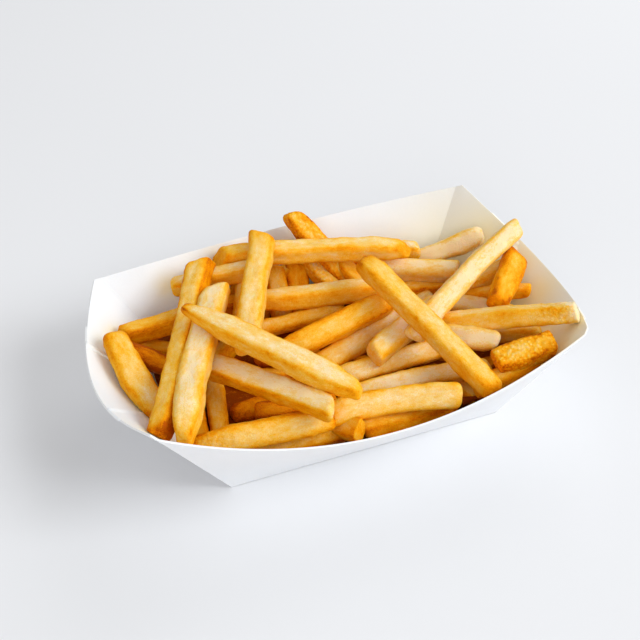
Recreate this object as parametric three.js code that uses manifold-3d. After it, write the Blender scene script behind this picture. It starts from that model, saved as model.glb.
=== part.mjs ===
// A paper food tray filled with french fries, in millimetres, +Z up.
// The origin is the middle of the tray's bottom: +X runs to the right end, +Y to the rear side.
import * as THREE from 'three';
import { mergeVertices } from 'three/addons/utils/BufferGeometryUtils.js';
import Module from 'manifold-3d';

// ---- Driving dimensions of the tray ----
const BASE_HALF_X = 50;
const BASE_HALF_Y = 33.3;
const PAPER = 0.6;
// Rim points in the quarter where x and y are positive; the other quarters mirror them.
const CREASE_TOP = [72, 46.9, 42.1];
const PEAK = [73.9, 45.2, 43.2];
// How far each glued corner sits off that place. The tray is folded by hand, so no two are alike.
const CORNER_SHIFT = {
  rearRight: [-1.4, 1.5, 1.1],
  frontRight: [-0.9, -0.1, -0.3],
  frontLeft: [-1.6, 1.3, 1.8],
  rearLeft: [-2.3, -1.7, -3.6],
};
// The middle of each rim.
const FRONT_MIDDLE = [-3, -56.4, 30.9];
const REAR_MIDDLE = [2.8, 56.4, 35.9];
const LEFT_MIDDLE = [-86.2, 0.3, 31.7];
const RIGHT_MIDDLE = [86.2, -1.5, 31.1];
// Each end is glued up of a panel outside and two corner flaps inside.
// Their edges as shares of the end's half width, from the front one to the rear one.
const LEFT_PANEL_EDGES = [-0.62, 0.58];
const RIGHT_PANEL_EDGES = [-0.78, 0.72];
const FLAP_EDGES = [-0.42, 0.38];
// Where the flaps' edges meet the tray's bottom, as a share of its half width.
const FLAP_EDGE_BASE = 0.06;
const PANEL_LIFT = 0.7;
const STEP_WIDTH = 0.006;
// How far in the wall's inner face meets the floor, per thickness of paper.
const FLOOR_INSET = 0.6;
const LONG_SIDE_FACETS = 20;
const END_FACETS = 14;

// ---- Driving dimensions of the fries ----
const FIT_GAP = 0.35;
const WALL_SLOPE_X = 0.95;
const WALL_SLOPE_Y = 0.5;
const CORNER_SHARE = 0.2;
const TIP_LENGTH = 1.2;
const TIP_SHRINK = 0.72;
const BED_HEIGHT = 15;
const BED_LUMP = 2.2;
const BED_FRY = 7.4;
const BED_LAYERS = [{ count: 9, level: 14 }, { count: 6, level: 19 }];
const SMALLEST_SCRAP = 300;

// ---- Small helpers ----
function seededRandom(seed) {
  let state = seed;
  return () => {
    state = (state * 16807) % 2147483647;
    return state / 2147483647;
  };
}

function closedGeometry(positions, triangles) {
  const geometry = new THREE.BufferGeometry();
  geometry.setAttribute('position', new THREE.Float32BufferAttribute(positions, 3));
  geometry.setIndex(triangles);
  return geometry;
}

// ---- Tray: a ring of straight columns from the base edge to the rim ----
function rimArc(start, middle, end) {
  const control = middle.clone().multiplyScalar(2);
  control.addScaledVector(start, -0.5);
  control.addScaledVector(end, -0.5);
  return new THREE.QuadraticBezierCurve3(start, control, end);
}

function cornerPoint(point, signX, signY) {
  const name = (signY > 0 ? 'rear' : 'front') + (signX > 0 ? 'Right' : 'Left');
  const shift = new THREE.Vector3(...CORNER_SHIFT[name]);
  return new THREE.Vector3(point[0] * signX, point[1] * signY, point[2]).add(shift);
}

// A long side from its left corner to its right one, both crease columns included.
function longSideColumns(signY) {
  const middle = new THREE.Vector3(...(signY > 0 ? REAR_MIDDLE : FRONT_MIDDLE));
  const arc = rimArc(cornerPoint(CREASE_TOP, -1, signY), middle, cornerPoint(CREASE_TOP, 1, signY));
  const columns = [];
  for (let i = 0; i <= LONG_SIDE_FACETS; i++) {
    const share = i / LONG_SIDE_FACETS;
    const base = new THREE.Vector3(BASE_HALF_X * (2 * share - 1), BASE_HALF_Y * signY, 0);
    columns.push({ base, rim: arc.getPoint(share), flap: false, panel: false });
  }
  return columns;
}

// An end between its two creases. Steps between one and two layers of paper are pairs of close columns.
function endColumns(signX) {
  const middle = new THREE.Vector3(...(signX > 0 ? RIGHT_MIDDLE : LEFT_MIDDLE));
  const arc = rimArc(cornerPoint(PEAK, signX, -1), middle, cornerPoint(PEAK, signX, 1));
  const panelEdges = signX > 0 ? RIGHT_PANEL_EDGES : LEFT_PANEL_EDGES;
  const edges = [...panelEdges, ...FLAP_EDGES];
  let stops = [];
  for (let i = 0; i <= END_FACETS; i++) {
    stops.push(2 * i / END_FACETS - 1);
  }
  stops = stops.filter((stop) => edges.every((edge) => Math.abs(stop - edge) > 2 * STEP_WIDTH));
  for (const edge of edges) {
    stops.push(edge - STEP_WIDTH, edge + STEP_WIDTH);
  }
  stops.sort((a, b) => a - b);
  return stops.map((stop) => {
    const size = Math.abs(stop);
    const flapEdge = Math.abs(stop < 0 ? FLAP_EDGES[0] : FLAP_EDGES[1]);
    const inside = Math.min(size / flapEdge, 1) * FLAP_EDGE_BASE;
    const outside = Math.max(0, (size - flapEdge) / (1 - flapEdge)) * (1 - FLAP_EDGE_BASE);
    const baseShare = Math.sign(stop) * (inside + outside);
    const base = new THREE.Vector3(BASE_HALF_X * signX, BASE_HALF_Y * baseShare, 0);
    const panel = stop > panelEdges[0] && stop < panelEdges[1];
    return { base, rim: arc.getPoint((stop + 1) / 2), flap: size > flapEdge, panel };
  });
}

// Unit vectors square to each column's wall, pointing into the tray.
function addInwardNormals(columns) {
  columns.forEach((column, i) => {
    const before = columns[Math.max(i - 1, 0)];
    const after = columns[Math.min(i + 1, columns.length - 1)];
    const along = after.rim.clone().sub(before.rim);
    const upward = column.rim.clone().sub(column.base);
    column.normal = upward.cross(along).normalize();
    if (column.normal.dot(column.base) > 0) {
      column.normal.negate();
    }
  });
  return columns;
}

function trayColumns() {
  const front = addInwardNormals(longSideColumns(-1));
  const right = addInwardNormals(endColumns(1));
  const rear = addInwardNormals(longSideColumns(1)).reverse();
  const left = addInwardNormals(endColumns(-1)).reverse();
  const corners = [[front, right], [right, rear], [rear, left], [left, front]];
  for (const [earlier, later] of corners) {
    const a = earlier[earlier.length - 1];
    const b = later[0];
    const creaseColumn = earlier === front || earlier === rear ? a : b;
    const bisector = a.normal.clone().add(b.normal);
    bisector.divideScalar(1 + a.normal.dot(b.normal));
    creaseColumn.normal = bisector;
  }
  return [...front, ...right, ...rear, ...left];
}

// One closed solid along the ring of columns, with a floor.
function trayShell({ inner, outer, flapStep, panelStep, lift, floorBottom, floorTop }) {
  const columns = trayColumns();
  const count = columns.length;
  const positions = [];
  for (const column of columns) {
    const outwards = outer + (column.panel ? panelStep : 0);
    const inwards = inner - (column.panel && !column.flap ? flapStep : 0);
    const level = new THREE.Vector3(column.normal.x, column.normal.y, 0);
    const outerBase = column.base.clone().addScaledVector(level, -outwards);
    outerBase.z = floorBottom;
    const outerRim = column.rim.clone().addScaledVector(column.normal, -outwards);
    outerRim.z += lift + (column.panel ? PANEL_LIFT : 0);
    const innerRim = column.rim.clone().addScaledVector(column.normal, inwards);
    innerRim.z += lift + (column.panel && !column.flap ? PANEL_LIFT : 0);
    const innerBase = column.base.clone().addScaledVector(level, inwards * FLOOR_INSET);
    innerBase.z = floorTop;
    for (const point of [outerBase, outerRim, innerRim, innerBase]) {
      positions.push(point.x, point.y, point.z);
    }
  }
  const bottomCentre = count * 4;
  const floorCentre = bottomCentre + 1;
  positions.push(0, 0, floorBottom, 0, 0, floorTop);
  const triangles = [];
  for (let i = 0; i < count; i++) {
    const a = i * 4;
    const b = ((i + 1) % count) * 4;
    for (let k = 0; k < 3; k++) {
      triangles.push(a + k, b + k, b + k + 1, a + k, b + k + 1, a + k + 1);
    }
    triangles.push(bottomCentre, b, a, floorCentre, a + 3, b + 3);
  }
  return closedGeometry(positions, triangles);
}

// ---- Fries ----
// A stick between two end points, with a rounded rectangle as its section, blunt tips and a slight bow.
function fryGeometry({ from, to, width, height, roll = 0, bow = 0, arch = 0, seed = 1 }) {
  const random = seededRandom(seed * 977 + 13);
  const start = new THREE.Vector3(...from);
  const end = new THREE.Vector3(...to);
  const along = end.clone().sub(start);
  const length = along.length();
  along.divideScalar(length);
  const level = along.clone().cross(new THREE.Vector3(0, 0, 1)).normalize();
  const upright = level.clone().cross(along);
  const turn = THREE.MathUtils.degToRad(roll);
  const across = level.clone().multiplyScalar(Math.cos(turn)).addScaledVector(upright, Math.sin(turn));
  const over = across.clone().cross(along);
  const flat = 1 - 2 * CORNER_SHARE;
  const section = [[1, flat], [flat, 1], [-flat, 1], [-1, flat], [-1, -flat], [-flat, -1], [flat, -1], [1, -flat]];
  const tip = TIP_LENGTH / length;
  const middles = bow || arch ? [0.36, 0.66] : [0.5];
  const stations = [0, tip, ...middles, 1 - tip, 1];
  const slants = [random() * 0.8 - 0.4, random() * 0.8 - 0.4];
  const positions = [];
  stations.forEach((share, ring) => {
    const isTip = share === 0 || share === 1;
    const bend = 4 * share * (1 - share);
    const centre = start.clone().addScaledVector(along, share * length);
    centre.addScaledVector(level, bow * bend).addScaledVector(upright, arch * bend);
    const size = (isTip ? TIP_SHRINK : 1) * (0.97 + 0.07 * random());
    const slant = share < 0.1 ? slants[0] : share > 0.9 ? slants[1] : 0;
    for (const [x, y] of section) {
      const point = centre.clone();
      point.addScaledVector(across, x * width / 2 * size);
      point.addScaledVector(over, y * height / 2 * size);
      point.addScaledVector(along, x * slant * width / 2);
      positions.push(point.x, point.y, point.z);
    }
  });
  const sides = section.length;
  const triangles = [];
  for (let ring = 0; ring + 1 < stations.length; ring++) {
    for (let k = 0; k < sides; k++) {
      const a = ring * sides + k;
      const b = ring * sides + (k + 1) % sides;
      triangles.push(a, b + sides, b, a, a + sides, b + sides);
    }
  }
  const last = (stations.length - 1) * sides;
  for (let k = 1; k + 1 < sides; k++) {
    triangles.push(0, k, k + 1, last, last + k + 1, last + k);
  }
  return closedGeometry(positions, triangles);
}

// The fries that show, from the lowest up: end points, then width and height of the section.
const FRIES = [
  // Deep ones along the front
  { from: [-44, 9, 17], to: [-51, -28, 14], width: 7, height: 6.6 },
  { from: [-53, 1, 17], to: [-58, -28, 16], width: 6, height: 6 },
  { from: [-38, 10, 11], to: [-38, -24, 12], width: 7, height: 7 },
  { from: [-37, -21, 19], to: [-9, -23, 17], width: 6.8, height: 6.6, roll: -30 },
  { from: [-46, -34, 15], to: [-11, -37, 16], width: 6.8, height: 6.4, roll: -30 },
  { from: [-16.4, -26.6, 14], to: [-7.5, -43.2, 21], width: 8, height: 7.4, roll: -20 },
  { from: [-5.5, -39.5, 17], to: [30, -39, 16], width: 7.4, height: 7 },
  { from: [30, -19, 14], to: [39, -37, 14], width: 7, height: 6.6 },
  { from: [-2, -23, 19], to: [47, -29, 20], width: 7, height: 6.8, roll: -30 },
  { from: [-6, -13, 17], to: [38, -13, 19], width: 8, height: 7.4, roll: -35 },
  // Deep ones along the rear
  { from: [-7.4, 46, 26], to: [-11, 24, 8], width: 8.4, height: 6.6 },
  { from: [1.6, 46, 25], to: [-3, 22, 8], width: 9, height: 6.6 },
  { from: [5, 46, 28], to: [13, 25, 19], width: 6.8, height: 6.4 },
  { from: [15, 42, 29], to: [24, 20, 20], width: 7.4, height: 7 },
  { from: [-21, 44, 24], to: [-31, 28, 17], width: 7, height: 7 },
  { from: [-30, 19, 19], to: [11, 19, 20], width: 7, height: 6.4, roll: -25 },
  { from: [-9, -6, 18], to: [47, 15.9, 17], width: 8.8, height: 8, roll: -25 },
  // The right end
  { from: [34, 39, 27.5], to: [49, 33.5, 27.5], width: 6.6, height: 6.2 },
  { from: [33, 39, 15], to: [71.9, 25.9, 34.5], width: 8.4, height: 7.6, roll: -52 },
  { from: [25.2, 33.4, 25], to: [58.5, 18.8, 25], width: 7.8, height: 8.8, roll: -24 },
  { from: [33, 22.5, 18], to: [56.6, 19, 18], width: 7, height: 7 },
  { from: [51, 11, 22], to: [76, 11, 28], width: 7, height: 6.8 },
  { from: [55.5, 8.6, 20.6], to: [77.1, -4.1, 27.9], width: 5.8, height: 5.8 },
  { from: [46.6, 8, 21.7], to: [68.1, -8.8, 21.6], width: 7, height: 6.4, roll: -30 },
  { from: [45, -8, 17], to: [70, -24, 26], width: 6.8, height: 6.4 },
  { from: [37.5, -13.2, 24], to: [52.4, -25.3, 27], width: 8, height: 7, roll: -40 },
  { from: [35, -41.2, 24], to: [59.8, -38.9, 26], width: 6.8, height: 6.6 },
  { from: [44, -37, 30], to: [65, -38.1, 33], width: 8.8, height: 8.2, roll: -14 },
  { from: [77.1, 9.3, 34], to: [58.2, -12.3, 32], width: 9, height: 7, roll: 22 },
  { from: [38, -6, 25], to: [76.5, -33.6, 40], width: 7.4, height: 7, roll: 18 },
  // The left end
  { from: [-72, 16, 28], to: [-50.5, 2.6, 19.6], width: 7.4, height: 6.8, roll: -30 },
  { from: [-67, 23, 21], to: [-50, 18, 16], width: 7.4, height: 7 },
  { from: [-71.8, 23.9, 27.5], to: [-26, 31, 24], width: 7.8, height: 7.4 },
  { from: [-74.7, 18.9, 32.9], to: [-67.6, -13.5, 22.5], width: 9.6, height: 7.6, bow: 1 },
  { from: [-18, 47, 29], to: [-33.5, 8.3, 24.7], width: 7.2, height: 7 },
  { from: [-49, 41, 30], to: [-16, 35, 35], width: 7, height: 6.8 },
  // The middle
  { from: [8.5, -14.5, 25], to: [43, 6.8, 22], width: 9.2, height: 8.2, roll: -20 },
  { from: [-20, 27, 27], to: [32, 18, 27], width: 8.4, height: 8, roll: 8, bow: 1.2 },
  { from: [-22, -3, 26], to: [25, 8.3, 27.5], width: 8.8, height: 8.2, roll: -34 },
  { from: [-61, -32, 24], to: [-15.6, -38.6, 25.4], width: 8.8, height: 8.2, roll: -42, bow: 0.6 },
  { from: [-15, -34, 22], to: [28, -44, 26], width: 8.6, height: 8, roll: -42, bow: -2.6 },
  { from: [-49, 1, 26.5], to: [-17.6, -44.4, 35.2], width: 8.4, height: 7.8, roll: -14, bow: -0.8 },
  { from: [1.5, 51.5, 45.3], to: [22, 30, 16], width: 8.8, height: 8.2, roll: -30 },
  { from: [-29, 46, 35], to: [39, 26, 36], width: 8.4, height: 8, bow: -1, arch: 0.6 },
  // The top ones
  { from: [80.1, 15.6, 42], to: [24.3, -13.5, 27.6], width: 8, height: 7.2, roll: 32, bow: 1.6 },
  { from: [-36.8, 42.5, 37], to: [-71.9, -34, 33], width: 8, height: 7.4, roll: -16, bow: -0.6 },
  { from: [-34.9, 26.3, 37.6], to: [-65.4, -40.4, 35], width: 10, height: 8.2, bow: 2.8 },
  { from: [-12.9, 42.8, 42.3], to: [-35, -8, 36], width: 8.8, height: 8.2 },
  { from: [-51, 11, 45], to: [-8, -43, 40], width: 8.8, height: 8.2, roll: -10, bow: 0.7 },
  { from: [17, 18, 42], to: [38.4, -48, 27.7], width: 8.6, height: 8.2 },
];

// Half sizes of the tray's hollow at a height, for a fry of a given thickness.
function roomAt(height, thickness) {
  const margin = thickness * 0.75;
  return [BASE_HALF_X + WALL_SLOPE_X * height - margin, BASE_HALF_Y + WALL_SLOPE_Y * height - margin];
}

// Fries half sunk in the bed, laid at random but always inside the hollow.
function bedFries() {
  const random = seededRandom(41);
  const fries = [];
  for (const { count, level } of BED_LAYERS) {
    const [roomX, roomY] = roomAt(level, BED_FRY);
    for (let i = 0; i < count; i++) {
      const around = (i + random() * 0.6) / count * Math.PI * 2;
      const spread = 0.55 + 0.35 * random();
      const middle = [roomX * 0.72 * spread * Math.cos(around), roomY * 0.9 * spread * Math.sin(around)];
      const heading = random() * Math.PI;
      const reach = 22 + 10 * random();
      const ends = [-1, 1].map((side) => [
        THREE.MathUtils.clamp(middle[0] + side * reach * Math.cos(heading), -roomX, roomX),
        THREE.MathUtils.clamp(middle[1] + side * reach * Math.sin(heading), -roomY, roomY),
        level + 3 * (random() - 0.5),
      ]);
      fries.push({ from: ends[0], to: ends[1], width: BED_FRY, height: BED_FRY * 0.92, roll: 30 * random() });
    }
  }
  return fries;
}

// The bed: a low lumpy mound that follows the tray's walls and carries the fries.
function bedGeometry() {
  const rings = [0, 0.3, 0.55, 0.78, 1];
  const sides = 24;
  const floor = PAPER + FIT_GAP + 0.3;
  const [roomX, roomY] = roomAt(BED_HEIGHT, 2);
  const positions = [0, 0, floor, 0, 0, BED_HEIGHT];
  const lump = (x, y) => BED_LUMP * Math.sin(x * 0.21 + 1) * Math.cos(y * 0.27 - x * 0.06);
  for (let k = 0; k < sides; k++) {
    const around = k / sides * Math.PI * 2;
    const stretch = 1 / Math.max(Math.abs(Math.cos(around)), Math.abs(Math.sin(around)));
    const x = Math.cos(around) * Math.min(stretch, 1.22);
    const y = Math.sin(around) * Math.min(stretch, 1.22);
    positions.push(x * (BASE_HALF_X - 2), y * (BASE_HALF_Y - 2), floor);
    for (const share of rings.slice(1)) {
      const px = x * roomX * share;
      const py = y * roomY * share;
      const edge = share === 1 ? -3 : 0;
      positions.push(px, py, BED_HEIGHT + edge + lump(px, py));
    }
  }
  const step = rings.length;
  const triangles = [];
  for (let k = 0; k < sides; k++) {
    const a = 2 + k * step;
    const b = 2 + ((k + 1) % sides) * step;
    triangles.push(0, b, a, a, b, b + 4, a, b + 4, a + 4, 1, a + 1, b + 1);
    for (let r = 1; r + 1 < step; r++) {
      triangles.push(a + r, a + r + 1, b + r + 1, a + r, b + r + 1, b + r);
    }
  }
  return closedGeometry(positions, triangles);
}

// ---- Joining and cutting ----
const wasm = await Module();
wasm.setup();

function toSolid(geometry) {
  const bare = geometry.clone();
  bare.deleteAttribute('normal');
  bare.deleteAttribute('uv');
  const merged = mergeVertices(bare, 1e-4);
  return new wasm.Manifold(new wasm.Mesh({
    numProp: 3,
    vertProperties: new Float32Array(merged.attributes.position.array),
    triVerts: new Uint32Array(merged.index.array),
  }));
}

function toGeometry(solid) {
  const mesh = solid.getMesh();
  return closedGeometry(Array.from(mesh.vertProperties), Array.from(mesh.triVerts));
}

// Hollows that joining has sealed are filled, and loose scraps are dropped.
function withoutHollowsAndScraps(solid) {
  const shells = solid.decompose().filter((shell) => shell.volume() > SMALLEST_SCRAP);
  return shells.reduce((a, b) => (a.volume() > b.volume() ? a : b));
}

function heapSolid() {
  let heap = toSolid(bedGeometry());
  [...bedFries(), ...FRIES].forEach((fry, i) => {
    heap = heap.add(toSolid(fryGeometry({ ...fry, seed: i + 1 })));
  });
  const clearance = toSolid(trayShell({
    inner: PAPER + FIT_GAP, outer: 5, flapStep: 0, panelStep: 0, lift: FIT_GAP,
    floorBottom: -3, floorTop: PAPER + FIT_GAP,
  }));
  return withoutHollowsAndScraps(heap.subtract(clearance));
}

// ---- Scene graph ----
const paper = new THREE.MeshStandardMaterial({ color: 0xf1efec, roughness: 0.7, metalness: 0 });
const friedPotato = new THREE.MeshStandardMaterial({ color: 0xe8ab4c, roughness: 0.55, metalness: 0 });

const tray = new THREE.Mesh(
  trayShell({
    inner: PAPER, outer: 0, flapStep: PAPER, panelStep: PAPER, lift: 0, floorBottom: 0, floorTop: PAPER,
  }),
  paper,
);
tray.name = 'tray';

const fries = new THREE.Mesh(toGeometry(heapSolid()), friedPotato);
fries.name = 'fries';

const group = new THREE.Group();
group.add(tray, fries);
export default group;
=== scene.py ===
import math
import random

import bpy
import numpy as np
from mathutils import Matrix, Vector, noise


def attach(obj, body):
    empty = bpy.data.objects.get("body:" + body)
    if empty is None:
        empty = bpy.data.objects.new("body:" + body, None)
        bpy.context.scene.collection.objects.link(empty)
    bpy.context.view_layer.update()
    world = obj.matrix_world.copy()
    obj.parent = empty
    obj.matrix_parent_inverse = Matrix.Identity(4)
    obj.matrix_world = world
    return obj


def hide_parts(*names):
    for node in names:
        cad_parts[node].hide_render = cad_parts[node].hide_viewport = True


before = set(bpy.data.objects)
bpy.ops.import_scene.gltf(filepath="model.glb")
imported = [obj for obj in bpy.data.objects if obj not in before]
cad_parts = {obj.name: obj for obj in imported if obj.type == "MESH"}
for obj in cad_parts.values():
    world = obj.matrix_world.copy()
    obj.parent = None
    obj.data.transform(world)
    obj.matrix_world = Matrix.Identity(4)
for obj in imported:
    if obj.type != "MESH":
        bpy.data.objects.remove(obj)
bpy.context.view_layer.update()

MM = 0.001

# ---------------------------------------------------------------- camera
CAMERA_AT = Vector((-0.09984, -0.25055, 0.26034))
CAMERA_AZIMUTH = -20.6
CAMERA_ELEVATION = 40.2
LENS_MM = 56.25
SENSOR_MM = 36


def add_camera():
    azimuth = math.radians(CAMERA_AZIMUTH)
    elevation = math.radians(CAMERA_ELEVATION)
    back = Vector((math.sin(azimuth) * math.cos(elevation),
                   -math.cos(azimuth) * math.cos(elevation),
                   math.sin(elevation)))
    right = Vector((math.cos(azimuth), math.sin(azimuth), 0))
    up = back.cross(right)
    data = bpy.data.cameras.new("camera")
    data.sensor_width = SENSOR_MM
    data.lens = LENS_MM
    camera = bpy.data.objects.new("camera", data)
    turn = Matrix((right, up, back)).transposed().to_4x4()
    camera.matrix_world = Matrix.Translation(CAMERA_AT) @ turn
    bpy.context.collection.objects.link(camera)
    bpy.context.scene.camera = camera


# ---------------------------------------------------------------- material helpers
class NodeTree:
    """A new material, with short calls for the nodes that it is built from."""

    def __init__(self, name):
        self.material = bpy.data.materials.new(name)
        self.material.use_nodes = True
        self.nodes = self.material.node_tree.nodes
        self.links = self.material.node_tree.links
        self.shader = self.nodes["Principled BSDF"]

    def add(self, kind, source=None, **values):
        """A node with its inputs or settings from values, and source linked to its Vector input."""
        made = self.nodes.new("ShaderNode" + kind)
        for key, value in values.items():
            if key in made.inputs:
                made.inputs[key].default_value = value
            else:
                setattr(made, key, value)
        if source is not None:
            self.links.new(source, made.inputs["Vector"])
        return made

    def attribute(self, name, output="Fac"):
        return self.add("Attribute", attribute_name=name).outputs[output]

    def combine(self, operation, a, b, clamp=False):
        made = self.add("Math", operation=operation, use_clamp=clamp)
        for socket, value in zip(made.inputs, (a, b)):
            if isinstance(value, (int, float)):
                socket.default_value = value
            else:
                self.links.new(value, socket)
        return made.outputs[0]

    def plus(self, a, b, clamp=False):
        return self.combine("ADD", a, b, clamp)

    def times(self, a, b):
        return self.combine("MULTIPLY", a, b)

    def centred(self, value, middle, amount):
        return self.times(self.combine("SUBTRACT", value, middle), amount)

    def ramp(self, value, stops):
        """Colour for a value, from stops of place and colour."""
        made = self.add("ValToRGB")
        elements = made.color_ramp.elements
        while len(elements) < len(stops):
            elements.new(1.0)
        for element, (place, colour) in zip(elements, stops):
            element.position = place
            element.color = (*colour, 1)
        self.links.new(value, made.inputs["Fac"])
        return made.outputs["Color"]

    def tinted(self, colour, tint, amount):
        """colour multiplied with tint, as far as amount says."""
        made = self.add("MixRGB", blend_type="MULTIPLY")
        made.inputs["Color2"].default_value = (*tint, 1)
        self.links.new(amount, made.inputs["Fac"])
        self.links.new(colour, made.inputs["Color1"])
        return made.outputs["Color"]

    def finish(self, colour, surface, height=None, **bump):
        """Sets the shader's colour, its other inputs and, from a height, its bump."""
        self.links.new(colour, self.shader.inputs["Base Color"])
        for key, value in surface.items():
            self.shader.inputs[key].default_value = value
        if height is not None:
            made = self.add("Bump", **bump)
            self.links.new(height, made.inputs["Height"])
            self.links.new(made.outputs[0], self.shader.inputs["Normal"])
        return self.material


def srgb(r, g, b):
    """Linear colour of an 8-bit screen colour."""
    out = []
    for c in (r, g, b):
        c /= 255
        out.append(c / 12.92 if c <= 0.04045 else ((c + 0.055) / 1.055) ** 2.4)
    return tuple(out)


# ---------------------------------------------------------------- materials
# Textures of the fried skin, in millimetres of the attribute "grain".
GRAIN_STRETCH = (0.5, 1, 1)
BLOTCH = dict(Scale=0.30, Detail=2.0, Roughness=0.5)
MOTTLE = dict(Scale=0.85, Detail=3.0, Roughness=0.6)
SAND = dict(Scale=2.6, Detail=2.0, Roughness=0.6)
PORES = dict(Scale=0.8, Randomness=1.0)
BUBBLES = dict(Scale=0.95, Randomness=1.0, feature="SMOOTH_F1")
# A pore is brown up to PORE_SIZE from its middle and sunk up to PORE_RIM.
PORE_SIZE = 0.12
PORE_RIM = 0.3
# Values that leave the browning as it is.
NOISE_MIDDLE = 0.5
BUBBLE_MIDDLE = 0.32
# What each of them adds to the browning and to the height of the bump.
BROWN_OF = dict(blotch=0.6, mottle=0.5, sand=0.5, pore=0.13, bubble=0.85)
HEIGHT_OF = dict(mottle=0.3, sand=0.45, pore=0.5, bubble=-1.6)
# Colour by browning, from creamy to brown; the darkest one, the fry's or the bed's painted shade, ends
# the ramp.
FRIED_COLOURS = [
    (0.00, srgb(254, 225, 176)),
    (0.08, srgb(253, 216, 146)),
    (0.20, srgb(252, 205, 112)),
    (0.40, srgb(251, 187, 52)),
    (0.60, srgb(245, 161, 4)),
    (0.80, srgb(226, 130, 0)),
]
DARKEST_FRY = srgb(180, 86, 0)
# Painted shade: the darkest colour of the bed, which stands for the dark gaps deep between the fries.
BED_SHADE_COLOUR = srgb(138, 62, 4)
FRIED_SURFACE = {
    "Roughness": 0.48,
    "Specular IOR Level": 0.04,
    "Subsurface Weight": 0.35,
    "Subsurface Radius": (1.0, 0.45, 0.12),
    "Subsurface Scale": 0.0022,
}

FIBRE = dict(Scale=1400.0, Detail=3.0, Roughness=0.6)
CLOUD = dict(Scale=45.0, Detail=2.0, Roughness=0.5)
FIBRE_SHARE = 0.35
CLOUD_SHARE = 0.65
PAPER_COLOURS = [(0.25, srgb(236, 237, 239)), (0.75, srgb(242, 243, 245))]
# Painted cool cast on the inner faces, which takes out warm light reflected from the fries.
INSIDE_COOL_CAST = (0.95, 0.985, 1.0)
# Tint of oil stain and of painted warm light reflected from the fries.
OIL_AND_BOUNCE_TINT = (1.0, 0.87, 0.57)
PAPER_SURFACE = {
    "Roughness": 0.62,
    "Specular IOR Level": 0.3,
    "Subsurface Weight": 0.5,
    "Subsurface Radius": (1.0, 0.95, 0.85),
    "Subsurface Scale": 0.0012,
}

FLOOR_CLOUD = dict(Scale=3.0, Detail=2.0)
FLOOR_COLOURS = [(0.3, (0.792, 0.795, 0.813)), (0.7, (0.802, 0.805, 0.823))]
FLOOR_SURFACE = {"Roughness": 0.8, "Specular IOR Level": 0.1}


def fry_material(name, darkest):
    """Fried potato. Attributes of the mesh say how brown it is, painted shade included, and how crisp it
    is, and place its grain.
    """
    tree = NodeTree(name)
    brown = tree.attribute("brown")
    crisp = tree.attribute("crisp")
    grain = tree.attribute("grain", "Vector")
    along = tree.add("Mapping", grain, Scale=GRAIN_STRETCH).outputs[0]
    blotch = tree.add("TexNoise", along, **BLOTCH).outputs["Fac"]
    mottle = tree.add("TexNoise", along, **MOTTLE).outputs["Fac"]
    sand = tree.add("TexNoise", grain, **SAND).outputs["Fac"]
    pores = tree.add("TexVoronoi", grain, **PORES).outputs["Distance"]
    bubbles = tree.add("TexVoronoi", grain, **BUBBLES).outputs["Distance"]

    level = tree.plus(brown, tree.centred(blotch, NOISE_MIDDLE, BROWN_OF["blotch"]))
    level = tree.plus(level, tree.centred(mottle, NOISE_MIDDLE, BROWN_OF["mottle"]))
    level = tree.plus(level, tree.centred(sand, NOISE_MIDDLE, BROWN_OF["sand"]))
    pore = tree.combine("LESS_THAN", pores, PORE_SIZE)
    level = tree.plus(level, tree.times(pore, BROWN_OF["pore"]))
    crust = tree.times(crisp, tree.centred(bubbles, BUBBLE_MIDDLE, BROWN_OF["bubble"]))
    level = tree.plus(level, crust, clamp=True)
    colour = tree.ramp(level, [*FRIED_COLOURS, (1.00, darkest)])

    height = tree.plus(tree.times(mottle, HEIGHT_OF["mottle"]), tree.times(sand, HEIGHT_OF["sand"]))
    dent = tree.times(tree.combine("MINIMUM", pores, PORE_RIM), HEIGHT_OF["pore"])
    blister = tree.times(tree.times(crisp, bubbles), HEIGHT_OF["bubble"])
    height = tree.plus(tree.plus(height, dent), blister)
    return tree.finish(colour, FRIED_SURFACE, height, Strength=0.7, Distance=0.0008)


def paper_material():
    """White paperboard. Attributes of the mesh say what faces inwards, which gets a painted cool cast
    against the warm light the fries reflect, and where oil has soaked in, with painted warm light
    reflected from the fries.
    """
    tree = NodeTree("paperboard")
    place = tree.add("TexCoord").outputs["Object"]
    fibre = tree.add("TexNoise", place, **FIBRE).outputs["Fac"]
    cloud = tree.add("TexNoise", place, **CLOUD).outputs["Fac"]
    mixed = tree.plus(tree.times(fibre, FIBRE_SHARE), tree.times(cloud, CLOUD_SHARE))
    colour = tree.ramp(mixed, PAPER_COLOURS)
    # Painted cool cast on the inner faces, against the warm light that the fries reflect.
    colour = tree.tinted(colour, INSIDE_COOL_CAST, tree.attribute("inside"))
    # Oil stain, with painted warm light reflected from the fries.
    colour = tree.tinted(colour, OIL_AND_BOUNCE_TINT, tree.attribute("oil_and_bounce"))
    return tree.finish(colour, PAPER_SURFACE, fibre, Strength=0.12, Distance=0.0002)


def floor_material():
    tree = NodeTree("floor")
    place = tree.add("TexCoord").outputs["Object"]
    cloud = tree.add("TexNoise", place, **FLOOR_CLOUD).outputs["Fac"]
    return tree.finish(tree.ramp(cloud, FLOOR_COLOURS), FLOOR_SURFACE)


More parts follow.
